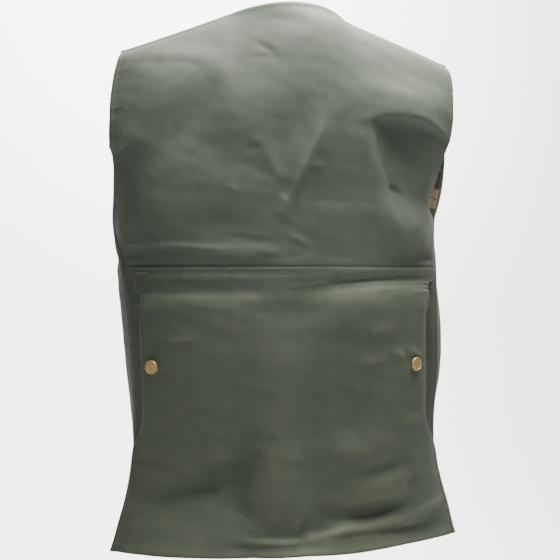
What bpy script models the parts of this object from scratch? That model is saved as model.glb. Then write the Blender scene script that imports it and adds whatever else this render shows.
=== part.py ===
"""Hunting gilet of olive cloth, in the hollow shape that it has when it is worn.

The wearer faces +Y, so the back is on the -Y side and the wearer's right is at +X. The origin lies
between the shoulders, where the wearer carries it. Each piece of cloth is a wall on the same trunk
shape, which comes from the sections in TRUNK and from the line of the shoulders.
"""

from collections import namedtuple
from copy import copy

import bmesh
import bpy
import numpy as np
from mathutils import Matrix, Vector

# Lengths, in metres
HEM = -0.6425
MOUTH_LEVEL = -0.287
UNDERARM = -0.237
SHOULDER_TIP = -0.016
NECK_POINT = 0.036
NAPE = 0.046
NECK_CREST = 0.0754
NECK_HALF = 0.0790
TIP_HALF = 0.216
SHOULDER_SLOPE = (NECK_POINT - SHOULDER_TIP) / (TIP_HALF - NECK_HALF)
BACK_ROUNDING = 0.17
FRONT_ROUNDING = 0.22
V_POINT = -0.170
FRONT_LAP = 0.0125
LAP_STEP = 0.0020
LAP_EASE = 0.022
V_EASE = 0.050
SHARP_ANGLE = np.radians(50)

# Cloth
SHELL = 0.0012
LINING = 0.0010
SEAM_GAP = 0.0003
LINING_GAP = 0.0006
LINING_EDGE = 0.003
LEAST_LEAN = 0.6
FACING = 0.030

# Columns and rows of each panel's grid
BACK_COLUMNS = 22
NECK_COLUMNS = 8
FRONT_COLUMNS = 11
POCKET_ROWS = 17
BAND_ROWS = (-0.3185, -0.3150, -0.3065, -0.3030)
WAIST_ROWS = 3
YOKE_ROWS = 14
FINE = 241

# Press studs
STUD_CAP = 0.017
STUD_RISE = 0.0034
STUD_STEPS = 20
STUD_GAP = 0.0010
FRONT_STUDS = 5
FRONT_STUD_TOP = -0.187
FRONT_STUD_PITCH = 0.099
POCKET_STUD_LEVEL = -0.4095
PocketStud = namedtuple("PocketStud", "name inset from_last")
POCKET_STUDS = (
    PocketStud("pocket_stud_left", 0.0183, False),
    PocketStud("pocket_stud_right", 0.0257, True),
)
# The outline of a stud's cap from its middle out and back: shares of its radius and of its height
STUD_OUTLINE = (
    (0.00, 0.00),
    (0.86, 0.00),
    (1.00, 0.30),
    (0.97, 0.70),
    (0.85, 1.00),
    (0.70, 0.90),
    (0.62, 0.58),
    (0.00, 0.62),
)

Section = namedtuple(
    "Section", "height half_width shift back_depth front_depth side_power depth_power seam_left seam_right"
)
TRUNK = (
    Section(-0.6425, 0.2312, -0.0010, 0.0890, 0.1000, 1.65, 1.00, 0.000, 0.000),
    Section(-0.6000, 0.2182, -0.0010, 0.0850, 0.0980, 1.75, 1.10, 0.001, 0.001),
    Section(-0.5400, 0.2050, -0.0020, 0.0820, 0.0980, 1.95, 1.40, 0.003, 0.007),
    Section(-0.4800, 0.2035, -0.0025, 0.0840, 0.1020, 2.10, 1.70, 0.009, 0.018),
    Section(-0.4200, 0.2095, -0.0020, 0.0890, 0.1080, 2.20, 1.80, 0.015, 0.028),
    Section(-0.3600, 0.2130, -0.0045, 0.0940, 0.1120, 2.20, 1.80, 0.019, 0.032),
    Section(-0.2870, 0.2128, -0.0114, 0.0980, 0.1150, 2.20, 1.80, 0.015, 0.019),
    Section(-0.2370, 0.2135, -0.0150, 0.1020, 0.1180, 2.25, 1.90, 0.000, 0.000),
    Section(-0.1900, 0.2195, -0.0150, 0.1050, 0.1200, 2.30, 2.00, 0.000, 0.000),
    Section(-0.1500, 0.2320, -0.0145, 0.1070, 0.1200, 2.30, 2.00, 0.000, 0.000),
    Section(-0.0900, 0.2500, -0.0120, 0.1070, 0.1190, 2.30, 2.00, 0.000, 0.000),
    Section(-0.0450, 0.2500, -0.0055, 0.1050, 0.1180, 2.30, 2.00, 0.000, 0.000),
    Section(0.0000, 0.2450, -0.0010, 0.1050, 0.1160, 2.30, 2.00, 0.000, 0.000),
    Section(0.0450, 0.2400, -0.0050, 0.1050, 0.1140, 2.30, 2.00, 0.000, 0.000),
)

# The armholes' edges, cut deeper in front than behind
ArmholePoint = namedtuple("ArmholePoint", "height back_left back_right front_left front_right")
ARMHOLE = (
    ArmholePoint(UNDERARM, 0.2135, 0.2135, 0.2135, 0.2135),
    ArmholePoint(-0.215, 0.2140, 0.2135, 0.2105, 0.2142),
    ArmholePoint(-0.190, 0.2150, 0.2150, 0.2080, 0.2174),
    ArmholePoint(-0.158, 0.2187, 0.2190, 0.2060, 0.2260),
    ArmholePoint(-0.142, 0.2208, 0.2197, 0.2060, 0.2310),
    ArmholePoint(-0.127, 0.2232, 0.2217, 0.2065, 0.2355),
    ArmholePoint(-0.110, 0.2247, 0.2230, 0.2072, 0.2345),
    ArmholePoint(-0.075, 0.2260, 0.2225, 0.2090, 0.2210),
    ArmholePoint(-0.045, 0.2235, 0.2215, 0.2110, 0.2160),
    ArmholePoint(SHOULDER_TIP, 0.2160, 0.2180, 0.2160, 0.2180),
)

# The right armhole gapes: its front edge stands out and its back edge is drawn in
Gape = namedtuple("Gape", "level half_height stand")
BACK_GAPE = Gape(-0.170, 0.075, -0.0080)
FRONT_GAPE = Gape(-0.182, 0.075, 0.0150)
GAPE_FROM = 0.10
GAPE_REACH = 0.10

# How far the game pocket's sides stay in from the side seams, which leaves its two mouths open
MouthPoint = namedtuple("MouthPoint", "height left right")
MOUTH = (
    MouthPoint(HEM, 0.002, 0.002),
    MouthPoint(-0.540, 0.002, 0.002),
    MouthPoint(-0.522, 0.002, 0.004),
    MouthPoint(-0.505, 0.005, 0.016),
    MouthPoint(-0.485, 0.0165, 0.029),
    MouthPoint(-0.460, 0.0185, 0.033),
    MouthPoint(-0.425, 0.0192, 0.037),
    MouthPoint(-0.350, 0.0210, 0.0375),
    MouthPoint(-0.3185, 0.0230, 0.0375),
    MouthPoint(-0.3150, 0.0195, 0.0375),
    MouthPoint(-0.3065, 0.0190, 0.0340),
    MouthPoint(-0.3030, 0.0190, 0.0225),
    MouthPoint(MOUTH_LEVEL, 0.0180, 0.0194),
)

# How far the pocket's cloth stands off the back, down its middle
PouchPoint = namedtuple("PouchPoint", "height stand")
POUCH = (
    PouchPoint(HEM, 0.0),
    PouchPoint(-0.620, 0.0006),
    PouchPoint(-0.560, 0.0030),
    PouchPoint(-0.480, 0.0060),
    PouchPoint(-0.380, 0.0075),
    PouchPoint(-0.335, 0.0060),
    PouchPoint(-0.311, 0.0012),
    PouchPoint(MOUTH_LEVEL, 0.0),
)
POUCH_EDGE = 0.0014
POUCH_FULL = 0.0010
POUCH_SQUARENESS = 3
CLOSEST_COLUMNS = 0.15

# The largest folds: from one point to the other on the panel, seen from behind or in front,
# with the half width of the fold and how far it stands out, or in where that is negative
Fold = namedtuple("Fold", "x_from z_from x_to z_to half_width stand")
BACK_FOLDS = (
    Fold(0.092, -0.095, 0.185, -0.192, 0.030, -0.0085),
    Fold(0.078, -0.100, 0.116, -0.196, 0.015, 0.0040),
    Fold(0.060, -0.066, 0.205, -0.078, 0.018, 0.0035),
    Fold(0.128, -0.200, 0.166, -0.288, 0.022, 0.0050),
    Fold(0.030, -0.080, -0.036, -0.212, 0.017, 0.0045),
    Fold(-0.006, -0.080, -0.048, -0.170, 0.018, -0.0030),
    Fold(-0.068, -0.130, -0.034, -0.190, 0.015, 0.0030),
    Fold(-0.105, -0.048, -0.200, -0.134, 0.024, -0.0060),
    Fold(-0.190, -0.150, -0.060, -0.205, 0.024, 0.0035),
    Fold(-0.205, -0.262, 0.004, -0.276, 0.014, 0.0035),
    Fold(-0.160, -0.240, 0.010, -0.254, 0.014, -0.0030),
    Fold(-0.200, -0.316, -0.030, -0.318, 0.014, -0.0020),
    Fold(-0.030, -0.322, 0.175, -0.304, 0.014, -0.0025),
    Fold(-0.020, -0.350, 0.180, -0.338, 0.022, 0.0030),
    Fold(-0.045, -0.502, -0.140, -0.542, 0.020, -0.0060),
    Fold(0.045, -0.548, 0.150, -0.536, 0.018, -0.0040),
    Fold(-0.030, -0.480, 0.110, -0.505, 0.026, 0.0040),
    Fold(-0.195, -0.598, -0.090, -0.568, 0.020, 0.0040),
    Fold(0.005, -0.570, 0.142, -0.592, 0.020, -0.0065),
    Fold(-0.092, -0.560, -0.070, -0.625, 0.018, -0.0040),
    Fold(-0.120, -0.610, 0.000, -0.628, 0.016, 0.0040),
    Fold(0.000, -0.628, 0.130, -0.608, 0.016, 0.0035),
)
FRONT_FOLDS = (
    Fold(0.080, -0.085, 0.165, -0.175, 0.026, -0.0065),
    Fold(0.062, -0.150, 0.120, -0.240, 0.020, 0.0040),
    Fold(0.175, -0.260, 0.050, -0.292, 0.018, -0.0040),
    Fold(0.165, -0.330, 0.060, -0.372, 0.022, 0.0035),
    Fold(0.060, -0.470, 0.165, -0.520, 0.022, -0.0055),
    Fold(0.050, -0.600, 0.180, -0.566, 0.020, 0.0045),
    Fold(0.095, -0.540, 0.070, -0.630, 0.020, -0.0045),
    Fold(-0.070, -0.075, -0.170, -0.150, 0.024, -0.0060),
    Fold(-0.120, -0.160, -0.060, -0.225, 0.020, 0.0040),
    Fold(-0.180, -0.275, -0.055, -0.262, 0.018, -0.0040),
    Fold(-0.070, -0.350, -0.170, -0.322, 0.022, 0.0035),
    Fold(-0.055, -0.500, -0.160, -0.470, 0.022, -0.0050),
    Fold(-0.170, -0.590, -0.060, -0.606, 0.020, 0.0045),
    Fold(-0.120, -0.545, -0.140, -0.625, 0.020, -0.0045),
)

OLIVE = (0.072, 0.084, 0.056, 1.0)
OLIVE_POCKET = (0.062, 0.075, 0.048, 1.0)
CHECK_BROWN = (0.090, 0.055, 0.032, 1.0)
BRASS = (0.36, 0.25, 0.11, 1.0)


def along(rows, name, height):
    """A column of a table at the given heights, on one smooth curve through its rows."""
    at = np.array([row.height for row in rows])
    value = np.array([getattr(row, name) for row in rows])
    slope = np.gradient(value, at)
    height = np.clip(height, at[0], at[-1])
    k = np.clip(np.searchsorted(at, height, side="right") - 1, 0, len(at) - 2)
    span = at[k + 1] - at[k]
    t = (height - at[k]) / span
    start = (1 + 2 * t) * (1 - t) ** 2 * value[k] + t * (1 - t) ** 2 * span * slope[k]
    end = t * t * (3 - 2 * t) * value[k + 1] - t * t * (1 - t) * span * slope[k + 1]
    return start + end


def crest(x):
    """Height of the shoulder line, and of its run on up the sides of the neck."""
    x = np.abs(x)
    rise = NECK_CREST - NECK_POINT
    fourth = rise - SHOULDER_SLOPE * NECK_HALF / 2
    second = -rise - fourth
    across = x / NECK_HALF
    in_neck = NECK_CREST + second * across**2 + fourth * across**4
    return np.where(x < NECK_HALF, in_neck, NECK_POINT - SHOULDER_SLOPE * (x - NECK_HALF))


def top_edge(x):
    """Height of the back's top edge: the neckline, then the shoulder seams."""
    neckline = NAPE - (NAPE - NECK_POINT) * (x / NECK_HALF) ** 2
    return np.where(np.abs(x) < NECK_HALF, neckline, crest(x))


def on_trunk(x, z, side):
    """Points of the worn shape at x from its middle and height z: side is -1 behind and 1 in front."""
    depth = along(TRUNK, "back_depth" if side < 0 else "front_depth", z)
    rounding = BACK_ROUNDING if side < 0 else FRONT_ROUNDING
    below = np.clip((crest(x) - z) / rounding, 0, 1)
    over_shoulder = np.sqrt(1 - (1 - below) ** 2)
    out = np.clip(np.abs(x) / along(TRUNK, "half_width", z), 0, 1)
    round_side = (1 - out ** along(TRUNK, "side_power", z)) ** (1 / along(TRUNK, "depth_power", z))
    y = side * depth * over_shoulder * round_side
    return np.stack([x + along(TRUNK, "shift", z), y, z + 0 * x], axis=-1)


def spread(curve, shares):
    """Points along a curve at the given shares of its length."""
    steps = np.linalg.norm(np.diff(curve, axis=0), axis=1)
    length = np.concatenate([[0], np.cumsum(steps)])
    return np.stack([np.interp(shares * length[-1], length, curve[:, k]) for k in range(3)], axis=-1)


def half_turn(height, side):
    """Half of the trunk's level section, from x = -half_width to +half_width."""
    turn = np.linspace(-np.pi / 2, np.pi / 2, FINE)
    half_width = along(TRUNK, "half_width", height)
    return on_trunk(half_width * np.sin(turn), height, side)


def seam_cut(height):
    """The level section behind the side seams, and its two ends that belong to the fronts."""
    curve = half_turn(height, -1)
    first = int(np.argmax(curve[:, 1] <= -along(TRUNK, "seam_left", height)))
    behind_right = curve[::-1, 1] <= -along(TRUNK, "seam_right", height)
    last = FINE - 1 - int(np.argmax(behind_right))
    return curve[first : last + 1], curve[: first + 1], curve[last:]


def row_heights():
    """Heights of the level rows, from the hem to the underarm, closer at the pocket's band."""
    pocket = np.linspace(HEM, BAND_ROWS[0], POCKET_ROWS + 1)
    waist = np.linspace(MOUTH_LEVEL, UNDERARM, WAIST_ROWS + 1)
    return np.concatenate([pocket, BAND_ROWS[1:], waist])


def yoke_rows():
    """How far each row above the underarm has risen towards the shoulder, from 0 to 1."""
    return np.linspace(0, 1, YOKE_ROWS + 1)[1:]


def armhole_half(rise, place):
    """Half width at the armhole's edge, behind or in front, for a row that has risen this far."""
    return along(ARMHOLE, place, UNDERARM + (SHOULDER_TIP - UNDERARM) * rise)


def gaping(points, gape):
    """Moves the cloth beside the right armhole sideways, most at the middle of its gape."""
    near_level = np.clip(1 - ((points[..., 2] - gape.level) / gape.half_height) ** 2, 0, 1) ** 2
    near_edge = np.clip((points[..., 0] - GAPE_FROM) / GAPE_REACH, 0, 1) ** 2
    points[..., 0] += gape.stand * near_level * near_edge
    return points


def back_points():
    """The back's grid: rows from the hem up, columns from the left side to the right."""
    even = np.linspace(0, 1, BACK_COLUMNS + 1)
    rows = [spread(seam_cut(z)[0], even) for z in row_heights()]
    top_x = np.union1d(np.linspace(-TIP_HALF, TIP_HALF, FINE), [-NECK_HALF, NECK_HALF])
    top = on_trunk(top_x, top_edge(top_x), -1)
    length = np.concatenate([[0], np.cumsum(np.linalg.norm(np.diff(top, axis=0), axis=1))])
    shoulder = np.interp(-NECK_HALF, top_x, length) / length[-1]
    side_columns = (BACK_COLUMNS - NECK_COLUMNS) // 2
    fitted = np.interp(
        np.arange(BACK_COLUMNS + 1),
        [0, side_columns, side_columns + NECK_COLUMNS, BACK_COLUMNS],
        [0, shoulder, 1 - shoulder, 1],
    )
    for rise in yoke_rows():
        left, right = armhole_half(rise, "back_left"), armhole_half(rise, "back_right")
        x = top_x * np.where(top_x < 0, left, right) / TIP_HALF
        z = UNDERARM + (top_edge(top_x) - UNDERARM) * rise
        rows.append(spread(on_trunk(x, z, -1), even + (fitted - even) * rise))
    return np.array(rows)


def front_points(side):
    """A front's grid, at +X for side 1: columns from the middle, where the fronts lap, to the side."""
    even = np.linspace(0, 1, FRONT_COLUMNS + 1)
    rows = []
    for z in row_heights():
        half_width = along(TRUNK, "half_width", z)
        turn = np.linspace(np.arcsin(-FRONT_LAP / half_width), np.pi / 2, FINE)
        forward = on_trunk(half_width * np.sin(turn) * side, z, 1)
        _, left_end, right_end = seam_cut(z)
        behind = right_end[::-1] if side > 0 else left_end
        rows.append(spread(np.concatenate([forward, behind[1:]]), even))
    share = np.linspace(0, 1, FINE)
    for rise in yoke_rows():
        inner_z = UNDERARM + (NECK_POINT - UNDERARM) * rise
        outer_z = UNDERARM + (SHOULDER_TIP - UNDERARM) * rise
        opened = np.clip((inner_z - V_POINT) / (NECK_POINT - V_POINT), 0, 1)
        inner_x = -FRONT_LAP + (NECK_HALF + FRONT_LAP) * opened
        armhole = armhole_half(rise, "front_right" if side > 0 else "front_left")
        x = inner_x + (armhole - inner_x) * share
        z = inner_z + (outer_z - inner_z) * share
        rows.append(spread(on_trunk(x * side, z, 1), even))
    return np.array(rows)


def folded(points, normals, folds):
    """The grid with each fold pushed out or in along the normals, fading to nothing at its ends."""
    push = np.zeros(points.shape[:2])
    for fold in folds:
        start = np.array([fold.x_from, fold.z_from])
        run = np.array([fold.x_to, fold.z_to]) - start
        place = points[..., [0, 2]] - start
        share = place @ run / (run @ run)
        across = np.abs(place[..., 0] * run[1] - place[..., 1] * run[0]) / np.linalg.norm(run)
        fade = np.clip(1 - (2 * share - 1) ** 2, 0, 1)
        push += fold.stand * fade * np.exp(-((across / fold.half_width) ** 2))
    return points + normals * push[..., None]


def normals_of(points, outward):
    """Unit normals of a grid, which point away from the trunk's middle."""
    normal = np.cross(np.gradient(points, axis=1), np.gradient(points, axis=0))
    normal /= np.linalg.norm(normal, axis=-1, keepdims=True)
    return normal * outward


class Panel:
    """A piece of cloth as a grid of points on its outer face, with a wall inward from there."""

    def __init__(self, points, outward, folds=()):
        self.outward = outward
        self.points = folded(points, normals_of(points, outward), folds)
        self.way = normals_of(self.points, outward)

    def mitre(self, where, direction):
        """Turns the wall's edge into a seam's plane, lengthened so that the wall keeps its thickness."""
        lean = np.sum(direction * self.way[where], axis=-1, keepdims=True)
        self.way[where] = direction / np.clip(lean, LEAST_LEAN, 1)

    def at(self, distance):
        """The grid moved outward by a distance, which may differ from point to point."""
        return self.points + self.way * np.broadcast_to(distance, self.points.shape[:2])[..., None]

    def read(self, columns):
        """A grid on this one's faces, with each row's columns read at the given places."""
        part = copy(self)
        part.points = between(self.points, columns)
        part.way = between(self.way, columns)
        return part


def unit(v):
    return v / np.linalg.norm(v, axis=-1, keepdims=True)


def sew_side(back, column, front):
    """Brings the back's side and a front's side to one seam plane, a seam's gap apart."""
    rows = slice(0, len(row_heights()))
    shared = unit(back.way[rows, column] + front.way[rows, -1])
    run = unit(np.gradient(back.points[rows, column], axis=0))
    apart = unit(np.cross(shared, run))
    apart *= np.sign(apart[:, 1:2])
    for panel, at, way in ((back, column, -0.5), (front, -1, 0.5)):
        panel.mitre((rows, at), shared)
        panel.points[rows, at] += apart * SEAM_GAP * way


def sew_shoulders(panel, way):
    """Stands the panel's top edge up in the plane of the shoulder seams, half a gap to its own side."""
    level = panel.way[-1].copy()
    level[:, 1] = 0
    on_shoulder = np.abs(panel.points[-1, :, 1]) < 0.001
    panel.mitre((-1, on_shoulder), unit(level[on_shoulder]))
    panel.points[-1, on_shoulder, 1] += SEAM_GAP / 2 * way


def lap_under(front):
    """Lets the right front's edge dip behind the left front's, where they are stud fastened."""
    past = front.points[..., 0] - along(TRUNK, "shift", front.points[..., 2])
    dip = np.clip(2 - past / LAP_EASE, 0, 1)
    below_v = np.clip((NECK_POINT - front.points[..., 2]) / V_EASE, 0, 1)
    dip = dip**2 * (3 - 2 * dip) * LAP_STEP * below_v
    front.points -= front.way * dip[..., None]


def between(grid, columns):
    """Grid values between whole columns, row by row: columns holds where to read in each row."""
    low = np.clip(np.floor(columns).astype(int), 0, grid.shape[1] - 2)
    part = (columns - low)[..., None]
    row = np.arange(grid.shape[0])[:, None]
    return grid[row, low] * (1 - part) + grid[row, low + 1] * part


def drawn_in(panel, inset_first, inset_last):
    """Column places that start and end this far in from a panel's sides, in each of its rows.

    The other columns stay on the panel's own, unless the first or the last pushes them along.
    """
    count = panel.points.shape[1] - 1
    width = np.linalg.norm(np.diff(panel.points, axis=1), axis=-1)
    place = np.arange(count + 1.0)
    first = (inset_first / width[:, 0])[:, None]
    last = (inset_last / width[:, -1])[:, None]
    from_first = np.maximum(place, first + CLOSEST_COLUMNS * place)
    return np.minimum(from_first, count - last - CLOSEST_COLUMNS * (count - place))


def wall(name, outer, inner, outward, colour, roughness=0.9, metallic=0.0):
    """A closed wall between two like grids, as an object of its own."""
    rows, columns = outer.shape[:2]
    mesh = bpy.data.meshes.new(name)
    build = bmesh.new()
    top, under = ([[build.verts.new(p) for p in row] for row in grid] for grid in (outer, inner))

    def patch(a, b, c, d):
        corners = (a, b, c, d) if outward > 0 else (d, c, b, a)
        build.faces.new(corners[:3])
        build.faces.new((corners[2], corners[3], corners[0]))

    for j in range(rows - 1):
        for i in range(columns - 1):
            patch(top[j][i], top[j][i + 1], top[j + 1][i + 1], top[j + 1][i])
            patch(under[j][i], under[j + 1][i], under[j + 1][i + 1], under[j][i + 1])
    for i in range(columns - 1):
        patch(under[0][i], under[0][i + 1], top[0][i + 1], top[0][i])
        patch(top[-1][i], top[-1][i + 1], under[-1][i + 1], under[-1][i])
    for j in range(rows - 1):
        patch(under[j + 1][0], under[j][0], top[j][0], top[j + 1][0])
        patch(under[j][-1], under[j + 1][-1], top[j + 1][-1], top[j][-1])
    build.to_mesh(mesh)
    build.free()
    return finished(name, mesh, colour, roughness, metallic)


def finished(name, mesh, colour, roughness, metallic):
    """Puts a mesh into the scene with its own material, shaded smooth but for its edges."""
    material = bpy.data.materials.new(name + "_finish")
    material.use_nodes = True
    shader = material.node_tree.nodes["Principled BSDF"]
    shader.inputs["Base Color"].default_value = colour
    shader.inputs["Roughness"].default_value = roughness
    shader.inputs["Metallic"].default_value = metallic
    material.diffuse_color = colour
    mesh.materials.append(material)
    mesh.shade_smooth()
    mesh.set_sharp_from_angle(angle=SHARP_ANGLE)
    piece = bpy.data.objects.new(name, mesh)
    bpy.context.scene.collection.objects.link(piece)
    return piece


def make_back():
    panel = Panel(gaping(back_points(), BACK_GAPE), 1, BACK_FOLDS)
    sew_shoulders(panel, -1)
    return panel


def make_front(side):
    points = front_points(side)
    if side > 0:
        points = gaping(points, FRONT_GAPE)
    panel = Panel(points, -side, FRONT_FOLDS)
    sew_shoulders(panel, 1)
    return panel


def add_wall(name, panel, outside, inside, colour):
    """A wall on a panel's grid between two distances out from it."""
    return wall(name, panel.at(outside), panel.at(inside), panel.outward, colour)


def add_pocket(back):
    """The game pocket: the back's outer layer from the mouth's level to the hem, open at both sides."""
    height = row_heights()[:-WAIST_ROWS]
    rows = slice(0, len(height))
    lower = copy(back)
    lower.points = back.points[rows]
    lower.way = back.way[rows]
    columns = drawn_in(lower, along(MOUTH, "left", height), along(MOUTH, "right", height))
    part = lower.read(columns)
    fullness = 1 - np.abs(np.linspace(-1, 1, BACK_COLUMNS + 1)) ** POUCH_SQUARENESS
    stand = np.clip(along(POUCH, "stand", height), 0, None)[:, None]
    stand = stand * fullness + POUCH_EDGE * np.clip(stand / POUCH_FULL, 0, 1)
    add_wall("game_pocket", part, SEAM_GAP + stand + SHELL, SEAM_GAP + stand, OLIVE_POCKET)
    part.points = part.at(SEAM_GAP + stand + SHELL)
    return part


def add_lining(name, front):
    """A front's lining, which stops just short of the armhole and at the facing of the front edge."""
    rows = front.points.shape[0]
    columns = drawn_in(front, np.full(rows, FACING + FRONT_LAP), np.full(rows, LINING_EDGE))
    part = front.read(columns)
    for at, beside in ((0, 1), (-1, -2)):
        step = part.points[beside] - part.points[at]
        share = LINING_EDGE / np.linalg.norm(step, axis=-1, keepdims=True)
        part.points[at] += step * share
        part.way[at] += (part.way[beside] - part.way[at]) * share
    outside = -(SHELL + LINING_GAP)
    add_wall(name, part, outside, outside - LINING, CHECK_BROWN)


def stud_mesh(name):
    """A press stud's cap: a raised rim round a sunk middle, turned about its axis, on a flat base."""
    build = bmesh.new()
    points = [build.verts.new((r * STUD_CAP / 2, 0, h * STUD_RISE)) for r, h in STUD_OUTLINE]
    edges = [build.edges.new(pair) for pair in zip(points, points[1:])]
    bmesh.ops.spin(
        build,
        geom=points + edges,
        axis=(0, 0, 1),
        cent=(0, 0, 0),
        angle=2 * np.pi,
        steps=STUD_STEPS,
    )
    bmesh.ops.remove_doubles(build, verts=build.verts, dist=1e-6)
    bmesh.ops.recalc_face_normals(build, faces=build.faces)
    mesh = bpy.data.meshes.new(name)
    build.to_mesh(mesh)
    build.free()
    return mesh


def add_stud(name, place, normal):
    """A stud's cap that lies on the cloth at this place, with its axis along the cloth's normal."""
    piece = finished(name, stud_mesh(name), BRASS, 0.35, 1.0)
    turn = Vector((0, 0, 1)).rotation_difference(Vector(normal)).to_matrix().to_4x4()
    piece.matrix_world = Matrix.Translation(Vector(place)) @ turn
    return piece


def on_panel(panel, height, distance, from_last):
    """A point of a panel at this height, this far in from its first or last column, and its normal."""
    row_heights_there = panel.points[:, 0, 2]
    row = np.interp(height, row_heights_there, np.arange(len(row_heights_there)))
    low = int(row)
    line, lean = (
        grid[low] * (low + 1 - row) + grid[low + 1] * (row - low) for grid in (panel.points, panel.way)
    )
    if from_last:
        line, lean = line[::-1], lean[::-1]
    length = np.concatenate([[0], np.cumsum(np.linalg.norm(np.diff(line, axis=0), axis=1))])
    place = np.array([np.interp(distance, length, line[:, k]) for k in range(3)])
    return place, unit(np.array([np.interp(distance, length, lean[:, k]) for k in range(3)]))


def add_studs(pocket, front_left):
    """The caps on the pocket's two sides and down the middle of the lap in front."""
    for stud in POCKET_STUDS:
        place, normal = on_panel(pocket, POCKET_STUD_LEVEL, stud.inset, stud.from_last)
        add_stud(stud.name, place + normal * STUD_GAP, normal)
    for k in range(FRONT_STUDS):
        level = FRONT_STUD_TOP - k * FRONT_STUD_PITCH
        place, normal = on_panel(front_left, level, FRONT_LAP, False)
        add_stud(f"front_stud_{k + 1}", place + normal * STUD_GAP, normal)


def main():
    for item in list(bpy.data.objects):
        bpy.data.objects.remove(item, do_unlink=True)
    back = make_back()
    front_left = make_front(-1)
    front_right = make_front(1)
    lap_under(front_right)
    sew_side(back, 0, front_left)
    sew_side(back, -1, front_right)
    add_wall("back", back, 0.0, -SHELL, OLIVE)
    add_wall("front_left", front_left, 0.0, -SHELL, OLIVE)
    add_wall("front_right", front_right, 0.0, -SHELL, OLIVE)
    add_lining("lining_left", front_left)
    add_lining("lining_right", front_right)
    pocket = add_pocket(back)
    add_studs(pocket, front_left)


main()
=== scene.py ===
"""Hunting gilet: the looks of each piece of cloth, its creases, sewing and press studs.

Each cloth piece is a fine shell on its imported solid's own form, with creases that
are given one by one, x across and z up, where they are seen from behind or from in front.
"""

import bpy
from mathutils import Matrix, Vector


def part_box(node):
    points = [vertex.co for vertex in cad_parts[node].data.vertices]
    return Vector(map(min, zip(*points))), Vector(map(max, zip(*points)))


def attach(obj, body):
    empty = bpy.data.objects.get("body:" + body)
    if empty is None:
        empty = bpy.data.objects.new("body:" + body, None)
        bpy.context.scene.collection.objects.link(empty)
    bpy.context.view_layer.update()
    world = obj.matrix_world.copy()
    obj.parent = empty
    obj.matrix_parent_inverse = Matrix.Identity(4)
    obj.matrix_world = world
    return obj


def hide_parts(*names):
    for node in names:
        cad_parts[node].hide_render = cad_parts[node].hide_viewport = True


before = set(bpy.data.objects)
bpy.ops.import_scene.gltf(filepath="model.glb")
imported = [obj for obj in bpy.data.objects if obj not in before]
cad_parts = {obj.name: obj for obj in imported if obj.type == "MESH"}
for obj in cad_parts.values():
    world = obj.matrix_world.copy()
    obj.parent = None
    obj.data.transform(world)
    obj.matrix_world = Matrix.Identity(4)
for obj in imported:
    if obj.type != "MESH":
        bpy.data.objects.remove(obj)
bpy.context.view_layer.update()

from collections import namedtuple
from math import cos, inf, pi, radians, sin

import bmesh
import bpy
import numpy as np
from mathutils import Matrix, Vector, noise
from mathutils.kdtree import KDTree

bl_info = {
    "name": "Hunting gilet",
    "version": (1, 0, 0),
    "blender": (4, 5, 0),
    "location": "View3D > Sidebar > Gilet",
    "description": "Builds an olive hunting gilet with a game pocket, its sewing and its press studs",
    "category": "Object",
}

# The photograph's view: the camera's place in metres, turn in degrees, and lens and sensor in millimetres
CAMERA_PLACE = (-0.4497, -1.633, -0.303)
CAMERA_TURN = -15.0
CAMERA_LENS = 83.83
SENSOR = 36.0

# Levels of the garment, in metres
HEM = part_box("back")[0].z
POCKET_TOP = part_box("game_pocket")[1].z
UNDERARM = -0.237
MOUTH_FOOT = -0.440

# Points nearer than this are one point, and a packed wall's rim is narrower than these
MERGE = 1e-6
SHELL_RIM = 0.0021
LINING_RIM = 0.00175

# How far the soft rim of a finished wall stands out
RIM_ROUND = 0.0004

# How sharp a crease is across its run, how softly it ends, and how wide it is there
CREST_POWER = 1.7
FADE_POWER = 1.4
END_WIDTH = 0.55

# How far from the seams and the neck creases begin, and how far the pocket draws the back with it
SEAM_REACH = 0.03
TOP_REACH = 0.03
POCKET_REACH = 0.006

# How fast the cloth's random forms change in a metre, and how far a seed moves them
SLOW_SCALE = Vector((11, 11, 17))
DRAG_ACROSS = 22
DRAG_UP = 62
DRAG_LEAN = 0.25
FINE_SCALE = 75
SEED_SHIFT = (7.3, 3.1, 5.7)

# A turned edge: the share of its width over which it thins, where and how much it dips along its
# stitching, how far it lifts the cloth, and how wide and how much its rim is worn
THINNING = 0.35
DIP_AT = 0.85
DIP_DEPTH = 0.00035
DIP_WIDTH = 0.0016
LIFT = 0.6
WORN_RIM = 0.0022
WORN_SHARE = 0.30

# Puckers wander by two waves of their own phase: size, rate and how far a seed turns them. Along a side
# they are weak at the seam, and stronger by a step at the armhole over it.
PUCKER_WANDER = ((1.3, 0.31, 1), (0.9, 0.173, 2))
SEAM_PUCKER = 0.25
ARMHOLE_STEP = 0.9
STEP_HEIGHT = 0.02

# How far a crest stands out of its softened surroundings where it is worn through
WORN_RISE = 0.0011
SOFTENINGS = 12

# How far round a stud the cloth is drawn in, and its folds: size, number, axis and turn along it
DIMPLE_RADIUS = 0.011
DIMPLE_FOLDS = ((0.35, 5, 2, 40), (0.25, 3, 0, 30))

# Pitches of the cloths' twill, in metres
SHELL_TWILL = 0.0009
LINING_TWILL = 0.0012

# How far in from turned edges, seams and hems the stitches run, and where an armhole's row ends
EDGE_INSET = 0.0058
SEAM_INSET = 0.0030
HEM_INSET = 0.0100
ARMHOLE_FOOT = UNDERARM - 0.004

# Sides of a stitch's thread, a stitch's share of its pitch, and how unevenly stitches lie
STITCH_SIDES = 6
STITCH_SHARE = 0.80
STITCH_JITTER = 0.05

# A bar's threads, how each of its two layers leans, and how far the second lies over the first
BAR_THREADS = 15
BAR_LEAN = (-0.12, 0.18)
BAR_RISE = 0.0002

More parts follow.
